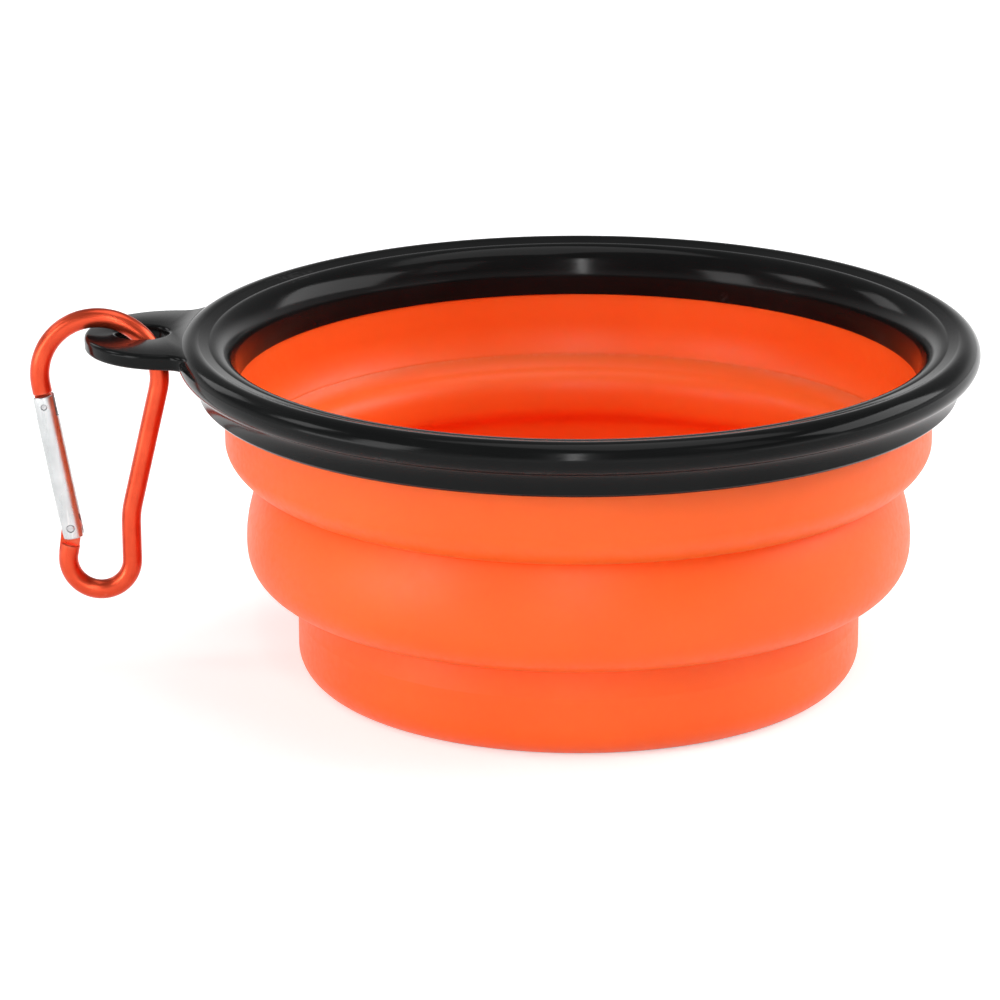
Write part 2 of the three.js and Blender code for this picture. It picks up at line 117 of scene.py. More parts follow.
def soften(points, radius, closed=True, steps=4, least=14.0):
    """Rounds a section's corners that turn by the least angle or more, as far as its sides allow."""
    out = []
    count = len(points)
    for i, p in enumerate(points):
        if not closed and i in (0, count - 1):
            out.append(p)
            continue
        b = Vector(p)
        a = Vector(points[i - 1]) - b
        c = Vector(points[(i + 1) % count]) - b
        if a.length < 1e-6 or c.length < 1e-6:
            continue
        turn = math.pi - a.angle(c)
        if math.degrees(turn) < least:
            out.append(p)
            continue
        cut = min(radius * math.tan(turn / 2), 0.45 * a.length, 0.45 * c.length)
        start = b + a.normalized() * cut
        end = b + c.normalized() * cut
        for k in range(steps + 1):
            t = k / steps
            q = start * (1 - t) ** 2 + b * (2 * t * (1 - t)) + end * t ** 2
            out.append((q.x, q.y))
    return out


def curve(points, steps):
    """A smooth line from the first of four points to the last, drawn towards the two between."""
    out = []
    for i in range(steps + 1):
        t = i / steps
        shares = ((1 - t) ** 3, 3 * t * (1 - t) ** 2, 3 * t * t * (1 - t), t ** 3)
        out.append(tuple(sum(k * p[axis] for k, p in zip(shares, points)) for axis in (0, 1)))
    return out


def smooth(obj, sharp):
    obj.data.shade_smooth()
    obj.data.set_sharp_from_angle(angle=math.radians(sharp))


def finish_mesh(name, bm, sharp=SHARP):
    mesh = bpy.data.meshes.new(name)
    bmesh.ops.recalc_face_normals(bm, faces=bm.faces)
    bm.to_mesh(mesh)
    bm.free()
    obj = bpy.data.objects.new(name, mesh)
    bpy.context.scene.collection.objects.link(obj)
    smooth(obj, sharp)
    return obj


def skin(bm, rows):
    """Joins each closed row of corners to the next."""
    for low, high in zip(rows, rows[1:]):
        for k in range(len(low)):
            n = (k + 1) % len(low)
            bm.faces.new((low[k], low[n], high[n], high[k]))


def lathe(name, section, steps, ring=True, sharp=SHARP):
    """Turns a section of radius and height about +Z. Points on the axis become poles."""
    bm = bmesh.new()
    turns = [2 * math.pi * k / steps for k in range(steps)]
    rows = []
    for r, z in section:
        if r < 1e-6:
            rows.append([bm.verts.new((0, 0, z * MM))] * steps)
        else:
            rows.append([bm.verts.new((r * MM * math.cos(a), r * MM * math.sin(a), z * MM)) for a in turns])
    for i in range(len(rows) if ring else len(rows) - 1):
        low, high = rows[i], rows[(i + 1) % len(rows)]
        for k in range(steps):
            n = (k + 1) % steps
            corners = []
            for v in (low[k], low[n], high[n], high[k]):
                if v not in corners:
                    corners.append(v)
            bm.faces.new(corners)
    return finish_mesh(name, bm, sharp)


def loft(name, loops):
    """Joins loops of equal length, in millimetres, and closes both ends."""
    bm = bmesh.new()
    rows = [[bm.verts.new(Vector(p) * MM) for p in loop] for loop in loops]
    skin(bm, rows)
    bm.faces.new(rows[0][::-1])
    bm.faces.new(rows[-1])
    return finish_mesh(name, bm)


def combine(obj, other, operation, sharp=SHARP):
    """Adds or cuts another mesh, and removes that mesh."""
    modifier = obj.modifiers.new("combine", "BOOLEAN")
    modifier.operation = operation
    modifier.solver = "EXACT"
    modifier.object = other
    depsgraph = bpy.context.evaluated_depsgraph_get()
    mesh = bpy.data.meshes.new_from_object(obj.evaluated_get(depsgraph))
    obj.modifiers.clear()
    obj.data = mesh
    bpy.data.objects.remove(other)
    smooth(obj, sharp)


# Soft tiers

def shoulder(neck, top, width, rise, fullness, start, end, steps):
    """A tier's rounded bottom, between two distances out from its neck."""
    first = math.acos((start / width) ** (fullness / 2))
    last = math.acos((end / width) ** (fullness / 2))
    out = []
    for i in range(steps + 1):
        a = first + (last - first) * i / steps
        out.append((neck + width * math.cos(a) ** (2 / fullness), top - rise * math.sin(a) ** (2 / fullness)))
    return out


def swell(foot, neck, steps):
    """The middle tier's side, drawn in towards its neck."""
    return [(foot[0] + (neck[0] - foot[0]) * (i / steps) ** 2, foot[1] + (neck[1] - foot[1]) * i / steps)
            for i in range(steps + 1)]


upper_inner = UPPER_R - WALL
middle_inner = MIDDLE_R - WALL
base_inner = BASE_R - WALL

upper_lip = MIDDLE_R + SOFT_GAP
upper_width = UPPER_R - UPPER_NECK_R
upper_z = UPPER_NECK_Z + UPPER_SHOULDER
lower_reach = BASE_R + SOFT_GAP - LOWER_NECK_R
lower_width = MIDDLE_R - LOWER_NECK_R
lower_z = LOWER_NECK_Z + LOWER_SHOULDER


def upper_shoulder(start, end, steps):
    return shoulder(UPPER_NECK_R, upper_z, upper_width, UPPER_SHOULDER, UPPER_FULLNESS, start, end, steps)


def upper_hollow(start, end, steps):
    """The inside of the upper tier's rounded bottom, between two radii."""
    reach = upper_inner - HOLLOW_R
    first, last = (math.degrees(math.acos(min(1.0, (r - HOLLOW_R) / reach))) for r in (start, end))
    return arc(HOLLOW_R, HOLLOW_TOP, reach, HOLLOW_TOP - HOLLOW_Z, -first, -last, steps)


def lower_shoulder(start, end, steps):
    return shoulder(LOWER_NECK_R, lower_z, lower_width, LOWER_SHOULDER, LOWER_FULLNESS, start, end, steps)


def lower_hollow(start, end, steps):
    """The inside of the middle tier's rounded bottom, one wall away."""
    return shoulder(LOWER_NECK_R, lower_z, lower_width - WALL, LOWER_SHOULDER - WALL, LOWER_FULLNESS,
                    start, end, steps)


def upper_section():
    """The upper tier, from its lip up the outside, over the top and down the inside."""
    step = [(UPPER_R, STEP_FOOT), (UPPER_R + STEP_OUT, STEP_HEAD), (UPPER_R + STEP_OUT, WALL_TOP),
            (upper_inner + STEP_OUT, WALL_TOP), (upper_inner + STEP_OUT, STEP_HEAD), (upper_inner, LIP_SEAT)]
    return (upper_shoulder(upper_lip - UPPER_NECK_R, upper_width, 24) + step
            + upper_hollow(upper_inner, upper_lip, 14))


def middle_section():
    """The middle tier, with a notch at its neck outside and a ledge over a rounded bulge inside."""
    swell_z, neck_in = UPPER_NECK_Z - SWELL, UPPER_NECK_R - NECK_WALL
    outer = swell((MIDDLE_R, swell_z), (UPPER_NECK_R, UPPER_NECK_Z), 16)
    inner = swell((middle_inner, swell_z), (neck_in, UPPER_NECK_Z), 16)[::-1]
    notch_from = 12
    notch = outer[notch_from:] + upper_shoulder(0, MIDDLE_R - UPPER_NECK_R, 10)[1:]
    notch = soften(notch, NOTCH_SOFT, closed=False, steps=6)
    ledge = upper_hollow(MIDDLE_R, LEDGE_R, 8)
    slope = (ledge[-2][1] - ledge[-1][1]) / (ledge[-2][0] - ledge[-1][0])
    drop = ledge[-1][1] - LEDGE_PULL * slope
    under = [p for p in inner if p[1] < BULGE_FOOT_Z]
    turn_z = (BULGE_Z + under[0][1]) / 2
    inmost = (BULGE_R, BULGE_Z)
    bulge = curve([ledge[-1], (LEDGE_R - LEDGE_PULL, drop), (BULGE_R, drop - BULGE_PULL), inmost], 24)
    bulge += curve([inmost, (BULGE_R, turn_z), (under[0][0], turn_z), under[0]], 12)[1:]
    return (lower_shoulder(lower_reach, lower_width, 24) + outer[:notch_from] + notch
            + ledge[:-1] + bulge + under[1:] + lower_hollow(lower_width - WALL, lower_reach, 20))


def base_section():
    """The base cup, from the middle of its underside round to the middle of its floor."""
    neck_in, neck_top, lip = LOWER_NECK_R - NECK_WALL, LOWER_NECK_Z + WALL, BASE_R - LOWER_NECK_R
    foot = arc(BASE_R - BASE_FILLET, BASE_FILLET, BASE_FILLET, BASE_FILLET, -90, 0, 16)
    outside = [(BASE_R, BASE_FILLET + STRAIGHT), (BASE_R, BASE_EDGE), (LOWER_NECK_R, LOWER_NECK_Z)]
    outside += lower_shoulder(CUP_LIP, lip, 3)
    outside = soften(outside, CUP_OUTER_SOFT, closed=False, least=4, steps=6)
    inside = [(LOWER_NECK_R, neck_top), (neck_in, neck_top), (neck_in, LOWER_NECK_Z), (base_inner, BASE_EDGE),
              (base_inner, FLOOR + INNER_FILLET + STRAIGHT)]
    inside = soften(inside, CUP_INNER_SOFT, closed=False, least=4, steps=8)
    floor_edge = arc(base_inner - INNER_FILLET, FLOOR + INNER_FILLET, INNER_FILLET, INNER_FILLET, 0, -90, 10)
    return ([(0, 0)] + foot + outside + lower_hollow(lip, CUP_LIP, 3) + inside + floor_edge + [(0, FLOOR)])


upper = lathe("upper_wall", upper_section(), WALL_STEPS)
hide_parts("upper_band")
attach(upper, "rim")

middle = lathe("middle_wall", middle_section(), WALL_STEPS)
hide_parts("mid_band")
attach(middle, "middle")

base = lathe("base_wall", base_section(), WALL_STEPS, ring=False)
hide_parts("base_cup")
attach(base, "base")


# Rim ring with its tab

def rim_section():
    """A rounded bead over a coved skirt; the crest falls smoothly from the bead to the inner lip."""
    bead = arc(RIM_R - BEAD, RIM_TOP - BEAD, BEAD, BEAD, BEAD_FROM, BEAD_TO, 26)
    skirt_r, skirt_z = RIM_R - SKIRT_TAPER, RIM_BOTTOM + SKIRT_EDGE
    cove = arc(bead[0][0], skirt_z, bead[0][0] - skirt_r, bead[0][1] - skirt_z, 180, 90, 14)
    slot_in, slot_out = upper_inner + STEP_OUT - SOFT_GAP, UPPER_R + STEP_OUT + SOFT_GAP
    crest_r = RIM_R - CREST_INSET
    fall = arc(crest_r, RIM_TOP - THROAT_DEPTH, crest_r - LIP_R, CREST_FALL, CREST_FROM, 180, 24)
    bead_end, fall_start = -4, 6
    crest = soften(bead[bead_end:] + fall[:fall_start], CREST_SOFT, closed=False, least=3, steps=5)
    slot = [(slot_in, SLOT_FOOT), (slot_in, SLOT_TOP), (slot_out, SLOT_TOP), (slot_out, STEP_HEAD)]
    return (
        [(UPPER_R + SOFT_GAP, RIM_BOTTOM), (skirt_r - SKIRT_EDGE, RIM_BOTTOM)]
        + cove[:-1] + bead[:bead_end] + crest + fall[fall_start:] + [(LIP_R, LIP_Z)] + slot
    )


def tab_outline(inset):
    """The tab's edge as seen from above, moved inwards by the inset."""
    r, fillet = TAB_R - inset, TAB_FILLET + inset
    end_x = TAB_TIP + TAB_R
    reach = RIM_R - TAB_SINK - inset + fillet
    x = (end_x ** 2 + reach ** 2 - (r + fillet) ** 2) / (2 * end_x)
    y = math.sqrt(reach ** 2 - x ** 2)
    leave = math.degrees(math.atan2(y, x - end_x))
    meet = math.degrees(math.atan2(y, -x))
    return (
        arc(end_x, 0, r, r, leave, 360 - leave, 72)[1:-1]
        + arc(x, -y, fillet, fillet, 180 - leave, meet, 14)
        + [(TAB_ROOT, -TAB_R), (TAB_ROOT, TAB_R)]
        + arc(x, y, fillet, fillet, -meet, leave - 180, 14)
    )


def tab_mesh():
    """A plate with rounded edges and a round hole."""
    low, high = TAB_TOP - TAB_THICK + TAB_EDGE, TAB_TOP - TAB_EDGE
    turns = [math.pi / 2 * k / 6 for k in range(7)]
    levels = [(TAB_EDGE - TAB_EDGE * math.sin(a), low - TAB_EDGE * math.cos(a)) for a in turns]
    levels += [(TAB_EDGE - TAB_EDGE * math.sin(a), high + TAB_EDGE * math.cos(a)) for a in turns[::-1]]
    bm = bmesh.new()

    def hole_outline(inset):
        return arc(HOLE_X, 0, HOLE_R + inset, HOLE_R + inset, 0, 360, 64)[1:]

    outer, hole = (
        [[bm.verts.new(Vector((x, y, z)) * MM) for x, y in outline(inset)] for inset, z in levels]
        for outline in (tab_outline, hole_outline)
    )
    skin(bm, outer)
    skin(bm, hole)
    for row in (0, -1):
        edges = []
        for loop in (outer[row], hole[row]):
            for k in range(len(loop)):
                edges.append(bm.edges.get((loop[k], loop[(k + 1) % len(loop)])))
        bmesh.ops.triangle_fill(bm, use_beauty=True, use_dissolve=False, edges=edges)
    return finish_mesh("tab", bm)


rim = lathe("rim_and_tab", soften(rim_section(), RIM_SOFT), RIM_STEPS, sharp=RIM_SHARP)
combine(rim, tab_mesh(), "UNION", sharp=RIM_SHARP)
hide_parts("rim_ring")
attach(rim, "rim")


# Carabiner

def v2(x, y):
    return Vector((x, y))


gate_start = v2(-math.cos(GATE_LEAN), -math.sin(GATE_LEAN)) * LARGE_R
gate_way = v2(math.sin(GATE_LEAN), -math.cos(GATE_LEAN))
inwards = v2(math.cos(GATE_LEAN), math.sin(GATE_LEAN))
hinge_way = v2(math.sin(HINGE_LEAN), math.cos(HINGE_LEAN))
small = v2(*SMALL_END)
rod_end = v2(-math.cos(HINGE_LEAN), math.sin(HINGE_LEAN)) * SMALL_R + small + hinge_way * HINGE_RUN
pivot_run = (gate_start.y - rod_end.y - HINGE_REACH) / math.cos(GATE_LEAN)
gate_top_run = NOSE_RUN + SEAT_GAP
notch_half = LATCH_D / 2 + LATCH_GAP
hook_depth = LATCH_RUN + notch_half + HOOK_WALL


def on_gate(run):
    """The place on the gate's line at a distance from the large end."""
    return gate_start + gate_way * run


def frame_route():
    """The line of the bent rod, from the nose round to the hinge."""
    spine_top = v2(math.cos(SPINE_LEAN), -math.sin(SPINE_LEAN)) * LARGE_R
    straight = small.x + SMALL_R
    cut = SPINE_BEND * math.tan(SPINE_LEAN / 2)
    bend_z = spine_top.y - (spine_top.x - straight) / math.tan(SPINE_LEAN) - cut
    corners = [tuple(on_gate(NOSE_RUN))]
    corners += arc(0, 0, LARGE_R, LARGE_R, 180 + math.degrees(GATE_LEAN), -math.degrees(SPINE_LEAN), 72)
    corners += arc(straight + SPINE_BEND, bend_z, SPINE_BEND, SPINE_BEND,
                   180 - math.degrees(SPINE_LEAN), 180, 10)
    corners += arc(small.x, small.y, SMALL_R, SMALL_R, 0, -180 - math.degrees(HINGE_LEAN), 48)
    corners += [tuple(rod_end)]
    return [v2(*p) for p in corners]


def evenly(points, pitch):
    """The same line with points a fixed distance apart."""
    out = [points[0]]
    carried = 0.0
    for a, b in zip(points, points[1:]):
        length = (b - a).length
        at = pitch - carried
        while at < length - 1e-9:
            out.append(a.lerp(b, at / length))
            at += pitch
        carried = length - (at - pitch)
    if (points[-1] - out[-1]).length > pitch * 0.3:
        out.append(points[-1])
    else:
        out[-1] = points[-1]
    return out


def tube(name, path, radius, sides, chamfer):
    """A round rod along a line in XZ, with chamfered ends and a map of its length and girth."""
    count = len(path)
    stations = []
    run = 0.0
    for i, p in enumerate(path):
        ahead = path[min(i + 1, count - 1)] - path[max(i - 1, 0)]
        ahead.normalize()
        if i:
            run += (p - path[i - 1]).length
        if i == 0:
            stations.append((p, ahead, radius - chamfer, run))
            stations.append((p + ahead * chamfer, ahead, radius, run + chamfer))
        elif i == count - 1:
            stations.append((p - ahead * chamfer, ahead, radius, run - chamfer))
            stations.append((p, ahead, radius - chamfer, run))
        elif chamfer < run:
            stations.append((p, ahead, radius, run))
    bm = bmesh.new()
    layer = bm.loops.layers.uv.new("along")
    rows = []
    for p, ahead, r, run in stations:
        side = v2(ahead.y, -ahead.x)
        row = []
        for k in range(sides):
            a = 2 * math.pi * k / sides
            q = p + side * (r * math.cos(a))
            row.append(bm.verts.new(Vector((CLIP[0] + q.x, r * math.sin(a), CLIP[1] + q.y)) * MM))
        rows.append(row)
    for i, (low, high) in enumerate(zip(rows, rows[1:])):
        near, far = stations[i][3], stations[i + 1][3]
        for k in range(sides):
            n = (k + 1) % sides
            face = bm.faces.new((low[k], low[n], high[n], high[k]))
            marks = ((near, k), (near, k + 1), (far, k + 1), (far, k))
            for loop, (along, turn) in zip(face.loops, marks):
                loop[layer].uv = (along / MAP_LENGTH, turn / sides)
    bm.faces.new(rows[0][::-1])
    bm.faces.new(rows[-1])
    return finish_mesh(name, bm)


def plate(name, outline, thickness):
    """A flat piece in XZ, with its edges broken."""
    half = thickness / 2
    centre = sum((v2(*p) for p in outline), v2(0, 0)) / len(outline)
    flat = half - PLATE_EDGE
    loops = []
    for y, shrink in ((-half, PLATE_EDGE), (-flat, 0), (flat, 0), (half, PLATE_EDGE)):
        loop = []
        for p in outline:
            q = v2(*p)
            q = q - (q - centre).normalized() * shrink
            loop.append((CLIP[0] + q.x, y, CLIP[1] + q.y))
        loops.append(loop)
    return loft(name, loops)


def strip(a, b, half):
    """The outline of a bar with round ends."""
    turn = math.degrees(math.atan2(b.y - a.y, b.x - a.x))
    return (arc(b.x, b.y, half, half, turn - 90, turn + 90, 20)
            + arc(a.x, a.y, half, half, turn + 90, turn + 270, 20))


def circle(x, y, z, radius):
    """A circle across Y."""
    turns = [2 * math.pi * k / PIN_STEPS for k in range(PIN_STEPS)]
    return [(x + radius * math.cos(a), y, z + radius * math.sin(a)) for a in turns]


def pin(name, place, diameter, length, chamfer):
    """A pin across the carabiner with chamfered ends."""
    half, r = length / 2, diameter / 2
    ends = ((-half, r - chamfer), (-half + chamfer, r), (half - chamfer, r), (half, r - chamfer))
    return loft(name, [circle(CLIP[0] + place.x, y, CLIP[1] + place.y, radius) for y, radius in ends])


pivot = on_gate(pivot_run)
latch = on_gate(gate_top_run + LATCH_RUN)

rod = tube("carabiner_rod", evenly(frame_route(), WIRE_PITCH), WIRE / 2, WIRE_STEPS, WIRE_CHAMFER)
tongue = plate("tongue", strip(rod_end - hinge_way * HINGE_RUN, pivot, WIRE / 2), TONGUE)
combine(tongue, pin("eye", pivot, RIVET_D + EYE_GAP, WIRE, EYE_CHAMFER), "DIFFERENCE")
hook_tip = on_gate(gate_top_run + hook_depth - HOOK_HALF)
hook = plate("hook", strip(on_gate(NOSE_RUN / 2), hook_tip, HOOK_HALF), TONGUE)
combine(hook, plate("notch", strip(latch, latch + inwards * NOTCH_RUN, notch_half), WIRE), "DIFFERENCE")
combine(rod, tongue, "UNION")
combine(rod, hook, "UNION")
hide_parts("carabiner_frame")
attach(rod, "carabiner")


def gate_body():
    """The gate drawn upright about its pivot: a turned rod, slotted at both ends, bored and drilled."""
    top, bottom, r = pivot_run - gate_top_run, GATE_FOOT, GATE_D / 2
    section = [(0, bottom)] + arc(r - GATE_EDGE, bottom + GATE_EDGE, GATE_EDGE, GATE_EDGE, -90, 0, 5)
    section += [(r, bottom + (top - bottom) * k / 12) for k in range(1, 12)]
    section += arc(r - GATE_EDGE, top - GATE_EDGE, GATE_EDGE, GATE_EDGE, 0, 90, 5) + [(0, top)]
    body = lathe("gate_body", section, GATE_STEPS, ring=False)
    past, side, across, half = 1, 4, 3, TONGUE / 2 + SEAT_GAP
    low_top = WIRE / 2 + SLOT_ROOM
    high_bottom = top - hook_depth - SLOT_ROOM
    for low, high in ((bottom - past, low_top), (high_bottom, top + past)):
        corners = ((-side, -half), (side, -half), (side, half), (-side, half))
        combine(body, loft("slot", [[(x, y, z) for x, y in corners] for z in (low, high)]), "DIFFERENCE")
    bore_top = low_top + BORE_DEPTH
    bore = lathe("bore", [(0, 0), (BORE_R, 0), (BORE_R, bore_top), (0, bore_top)], PIN_STEPS, ring=False)
    combine(body, bore, "DIFFERENCE")
    for z, diameter in ((0.0, RIVET_D + PIN_GAP), (top - LATCH_RUN, LATCH_D + PIN_GAP)):
        combine(body, loft("hole", [circle(0, y, z, diameter / 2) for y in (-across, across)]), "DIFFERENCE")
    turn = Matrix.Rotation(-GATE_LEAN, 4, "Y")
    place = Matrix.Translation(Vector((CLIP[0] + pivot.x, 0, CLIP[1] + pivot.y)) * MM)
    body.data.transform(place @ turn)
    return body


gate = gate_body()
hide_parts("carabiner_gate")
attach(gate, "gate")
rivet = pin("hinge_rivet", pivot, RIVET_D, GATE_D - RIVET_SHORT, RIVET_CHAMFER)
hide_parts("gate_pivot_rivet")
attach(rivet, "gate")
latch_pin = pin("latch_pin", latch, LATCH_D, GATE_D - LATCH_SHORT, LATCH_CHAMFER)
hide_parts("gate_latch_pin")
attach(latch_pin, "gate")


# Materials

class Nodes:
    """A material's node tree, with short ways to add and link nodes."""

    def __init__(self, name):
        self.material = bpy.data.materials.new(name)
        self.material.use_nodes = True
        self.tree = self.material.node_tree
        self.shader = self.tree.nodes["Principled BSDF"]

    def add(self, kind, **values):
        node = self.tree.nodes.new(kind)
        for key, value in values.items():
            if key in node.inputs:
                node.inputs[key].default_value = value
            else:
                setattr(node, key, value)
        return node

    def link(self, a, b):
        self.tree.links.new(a, b)

    def noise(self, vector, scale=1.0, detail=3.0):
        node = self.add("ShaderNodeTexNoise", Scale=scale, Detail=detail, Roughness=0.55)
        self.link(vector, node.inputs["Vector"])
        return node.outputs["Fac"]

    def between(self, value, low, high, from_low=0.3, from_high=0.7):
        node = self.add("ShaderNodeMapRange")
        ends = {"From Min": from_low, "From Max": from_high, "To Min": low, "To Max": high}
        for key, end in ends.items():
            node.inputs[key].default_value = end
        self.link(value, node.inputs["Value"])
        return node.outputs["Result"]

    def colours(self, value, low, high):
        """A colour between two, the first at 0.3 of the value and the second at 0.7."""
        node = self.add("ShaderNodeValToRGB")
        for element, place, colour in zip(node.color_ramp.elements, (0.3, 0.7), (low, high)):
            element.position = place
            element.color = (*colour, 1)
        self.link(value, node.inputs["Fac"])
        return node.outputs["Color"]

    def bump(self, height, strength, distance, normal=None):
        node = self.add("ShaderNodeBump", Strength=strength, Distance=distance)
        self.link(height, node.inputs["Height"])
        if normal is not None:
            self.link(normal, node.inputs["Normal"])
        return node.outputs["Normal"]

    def place(self, output="Object", scale=(1, 1, 1)):
        """Coordinates on the piece, stretched by a scale along each axis."""
        coordinates = self.add("ShaderNodeTexCoord")
        mapping = self.add("ShaderNodeMapping")
        mapping.inputs["Scale"].default_value = scale
        self.link(coordinates.outputs[output], mapping.inputs["Vector"])
        return mapping.outputs["Vector"]

    def worn(self, colour, patch, bright, amount):
        """Lightens a colour along convex edges, in patches."""
        shape = self.add("ShaderNodeNewGeometry")
        edge = self.between(shape.outputs["Pointiness"], 0.0, 1.0, from_low=0.515, from_high=0.58)
        spots = self.between(patch, 0.0, amount, from_low=0.4, from_high=0.65)
        both = self.add("ShaderNodeMath", operation="MULTIPLY")
        self.link(edge, both.inputs[0])
        self.link(spots, both.inputs[1])
        mix = self.add("ShaderNodeMix", data_type="RGBA")
        self.link(both.outputs[0], mix.inputs["Factor"])
        self.link(colour, mix.inputs[6])
        mix.inputs[7].default_value = (*bright, 1)
        return mix.outputs[2]

    def set(self, name, value):
        self.shader.inputs[name].default_value = value

    def drive(self, name, output):
        self.link(output, self.shader.inputs[name])


def silicone():
    m = Nodes("orange_silicone")
    place = m.place()
    broad = m.noise(place, scale=38, detail=4)
    fine = m.noise(place, scale=900, detail=2)
    grain = m.noise(place, scale=5200, detail=1)
    tint = m.colours(broad, (0.96, 0.121, 0.0122), (1.0, 0.138, 0.0160))
    m.drive("Base Color", m.worn(tint, fine, bright=(1.0, 0.20, 0.07), amount=0.35))
    m.drive("Roughness", m.between(fine, 0.38, 0.48))
    soft_bump = m.bump(broad, strength=0.05, distance=0.0004)
    m.drive("Normal", m.bump(grain, strength=0.12, distance=0.00006, normal=soft_bump))
    m.set("Subsurface Weight", 0.3)
    m.set("Subsurface Radius", (1.0, 0.45, 0.15))
    m.set("Subsurface Scale", 0.0035)
    m.set("IOR", 1.37)
    return m.material


def black_plastic():
    m = Nodes("black_plastic")
    place = m.place()
    broad = m.noise(place, scale=60, detail=4)
    fine = m.noise(place, scale=1400, detail=2)
    hair = m.noise(m.place(scale=(900, 900, 90)), detail=2)
    tint = m.colours(broad, (0.0042, 0.0045, 0.0046), (0.0070, 0.0074, 0.0075))
    m.drive("Base Color", m.worn(tint, fine, bright=(0.03, 0.03, 0.03), amount=0.6))
    m.drive("Roughness", m.between(broad, 0.10, 0.17))
    soft_bump = m.bump(broad, strength=0.03, distance=0.0003)
    m.drive("Normal", m.bump(hair, strength=0.008, distance=0.00005, normal=soft_bump))
    m.set("IOR", 1.19)
    return m.material


def anodised():
    m = Nodes("anodised_red_orange")
    drawn = m.noise(m.place("UV", scale=(3, 60, 1)), detail=4)
    broad = m.noise(m.place(), scale=220)
    tint = m.colours(broad, (0.60, 0.058, 0.021), (0.70, 0.080, 0.030))
    m.drive("Base Color", m.worn(tint, broad, bright=(0.75, 0.35, 0.25), amount=0.4))
    m.drive("Roughness", m.between(drawn, 0.26, 0.40))
    m.drive("Normal", m.bump(drawn, strength=0.08, distance=0.00005))
    m.set("Metallic", 0.85)
    return m.material


def bare_aluminium():
    m = Nodes("bare_aluminium")
    drawn = m.noise(m.place(scale=(2600, 2600, 120)), detail=4)
    broad = m.noise(m.place(), scale=260)
    tint = m.colours(broad, (0.50, 0.515, 0.52), (0.60, 0.615, 0.62))
    m.drive("Base Color", m.worn(tint, drawn, bright=(0.82, 0.82, 0.81), amount=0.5))
    m.drive("Roughness", m.between(drawn, 0.24, 0.40))
    m.drive("Normal", m.bump(drawn, strength=0.12, distance=0.00005))
    m.set("Metallic", 1.0)
    return m.material


def pin_steel():
    m = Nodes("pin_steel")
    turned = m.noise(m.place(), scale=1800)
    m.drive("Base Color", m.colours(turned, (0.42, 0.42, 0.43), (0.56, 0.56, 0.57)))
    m.drive("Roughness", m.between(turned, 0.25, 0.4))
    m.drive("Normal", m.bump(turned, strength=0.08, distance=0.00004))
    m.set("Metallic", 1.0)
    return m.material


def wear(obj, material):
    obj.data.materials.clear()
    obj.data.materials.append(material)


soft = silicone()
for obj in (upper, middle, base):
    wear(obj, soft)
wear(rim, black_plastic())
wear(rod, anodised())
wear(gate, bare_aluminium())
steel = pin_steel()
for obj in (rivet, latch_pin):
    wear(obj, steel)
for name in ("gate_plunger", "gate_spring"):
    node = frame["nodes"][name]
    for index in range(len(node.material_slots)):
        node.material_slots[index].material = steel


# Floor, world, lamps and camera, in metres and watts

FLOOR_HALF, FLOOR_COLOUR = 3.0, (0.86, 0.86, 0.86, 1)
WHITE = (1, 1, 1, 1)
DIM = 0.22

# Each lamp's name, its place, the height on the bowl's axis that it points at, its width, height and power
LAMPS = (
    ("key_strip", (0.0, -1.1, 0.62), 0.04, 0.032, 1.0, 4.5),
    ("front_low", (0.0, -0.90, 0.08), 0.03, 0.9, 0.12, 0.22),
    ("left_low", (-0.80, -0.40, 0.08), 0.03, 0.5, 0.12, 1.18),
    ("right_low", (0.80, -0.40, 0.08), 0.03, 0.5, 0.12, 0.32),
    ("left_softbox", (-0.95, -0.70, 0.42), 0.03, 0.35, 0.5, 3.64),
    ("left_high", (-0.97, 0.0, 0.70), 0.05, 0.30, 0.30, 1.7),
    ("left_back", (-0.80, 0.75, 0.60), 0.03, 0.35, 0.35, 0.86),
    ("right_softbox", (0.75, -0.56, 0.81), 0.04, 0.35, 0.5, 0.54),
    ("right_strip", (0.98, 0.20, 0.60), 0.04, 1.0, 0.55, 8.5),
    ("overhead", (0.15, 0.15, 1.3), 0.0, 1.0, 0.9, 6.0),
)

# The camera's focal length is in pixels of the photograph, which is 1000 wide
FOCAL_PIXELS, PICTURE_PIXELS, SENSOR_MM = 4744, 1000, 36
SHIFT_X, SHIFT_Y, CLIP_START = -0.07856, 0.0209, 0.01
ELEVATION, TURN, DISTANCE, AIM_Z = math.radians(17.72), math.radians(1.3), 0.7809, 0.025


def background_rays(tree):
    """1 for rays that look at the background: from the camera, a reflection or a clear piece."""
    path = tree.nodes.new("ShaderNodeLightPath")
    total = path.outputs["Is Camera Ray"]
    for name in ("Is Glossy Ray", "Is Transmission Ray"):
        node = tree.nodes.new("ShaderNodeMath")
        node.operation = "MAXIMUM"
        tree.links.new(total, node.inputs[0])
        tree.links.new(path.outputs[name], node.inputs[1])
        total = node.outputs[0]
    return total


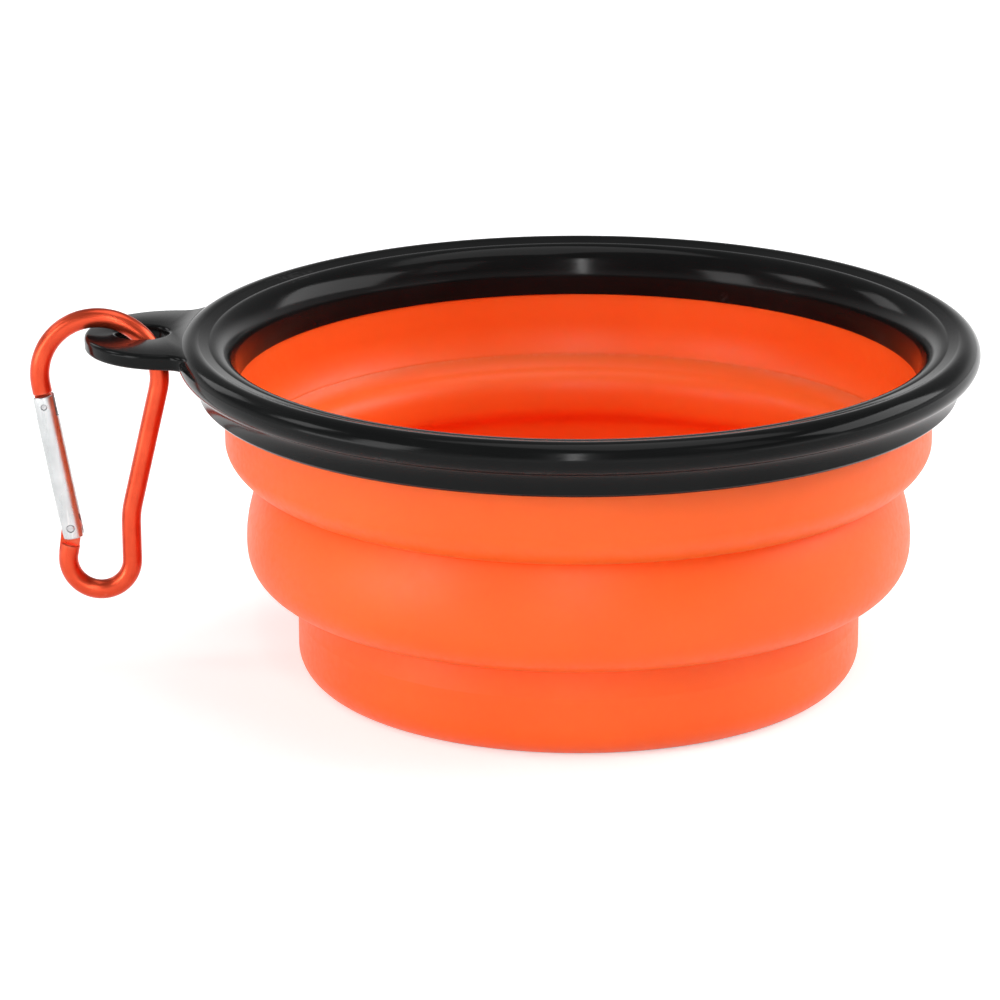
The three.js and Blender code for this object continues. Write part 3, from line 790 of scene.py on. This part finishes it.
def floor():
    """A pale floor that keeps the shadow, and is as white far off as under the lamps."""
    bm = bmesh.new()
    bmesh.ops.create_grid(bm, x_segments=8, y_segments=8, size=FLOOR_HALF)
    obj = finish_mesh("floor", bm)
    m = Nodes("pale_floor")
    m.tree.nodes.remove(m.shader)
    diffuse = m.add("ShaderNodeBsdfDiffuse", Color=FLOOR_COLOUR)
    glow = m.add("ShaderNodeEmission", Color=WHITE)
    away = m.add("ShaderNodeVectorMath", operation="LENGTH")
    m.link(m.add("ShaderNodeNewGeometry").outputs["Position"], away.inputs[0])
    share = m.add("ShaderNodeMath", operation="MULTIPLY")
    m.link(background_rays(m.tree), share.inputs[0])
    m.link(m.between(away.outputs["Value"], 0.5, 1.0, from_low=0.3, from_high=1.3), share.inputs[1])
    m.link(share.outputs[0], glow.inputs["Strength"])
    both = m.add("ShaderNodeAddShader")
    m.link(diffuse.outputs[0], both.inputs[0])
    m.link(glow.outputs[0], both.inputs[1])
    m.link(both.outputs[0], m.tree.nodes["Material Output"].inputs["Surface"])
    obj.data.materials.append(m.material)


def world():
    """White all round, as the backdrop is, and dimmer overhead where the lamps hang."""
    w = bpy.data.worlds.new("studio")
    bpy.context.scene.world = w
    w.use_nodes = True
    tree = w.node_tree
    background = tree.nodes["Background"]
    background.inputs["Color"].default_value = WHITE
    ray = tree.nodes.new("ShaderNodeTexCoord")
    height = tree.nodes.new("ShaderNodeSeparateXYZ")
    tree.links.new(ray.outputs["Generated"], height.inputs["Vector"])
    ceiling = tree.nodes.new("ShaderNodeMapRange")
    ceiling.interpolation_type = "SMOOTHSTEP"
    for key, value in {"From Min": 0.10, "From Max": 0.36, "To Min": 1.0, "To Max": DIM}.items():
        ceiling.inputs[key].default_value = value
    tree.links.new(height.outputs["Z"], ceiling.inputs["Value"])
    mix = tree.nodes.new("ShaderNodeMapRange")
    mix.inputs["To Min"].default_value = DIM
    tree.links.new(background_rays(tree), mix.inputs["Value"])
    tree.links.new(ceiling.outputs["Result"], mix.inputs["To Max"])
    tree.links.new(mix.outputs["Result"], background.inputs["Strength"])


def lamp(name, place, target_z, width, height, watts):
    data = bpy.data.lights.new(name, "AREA")
    data.shape = "RECTANGLE"
    data.size = width
    data.size_y = height
    data.energy = watts
    obj = bpy.data.objects.new(name, data)
    obj.location = place
    obj.rotation_euler = (Vector((0, 0, target_z)) - Vector(place)).to_track_quat("-Z", "Y").to_euler()
    bpy.context.scene.collection.objects.link(obj)


def camera():
    """The photograph's camera, turned a little about the bowl's axis."""
    data = bpy.data.cameras.new("camera")
    data.sensor_fit = "HORIZONTAL"
    data.sensor_width = SENSOR_MM
    data.lens = FOCAL_PIXELS * SENSOR_MM / PICTURE_PIXELS
    data.shift_x = SHIFT_X
    data.shift_y = SHIFT_Y
    data.clip_start = CLIP_START
    obj = bpy.data.objects.new("camera", data)
    out = DISTANCE * math.cos(ELEVATION)
    obj.location = (out * math.sin(TURN), -out * math.cos(TURN), AIM_Z + DISTANCE * math.sin(ELEVATION))
    obj.rotation_euler = (math.pi / 2 - ELEVATION, 0, TURN)
    bpy.context.scene.collection.objects.link(obj)
    bpy.context.scene.camera = obj


floor()
world()
for values in LAMPS:
    lamp(*values)
camera()
bpy.context.scene.view_settings.view_transform = "Standard"
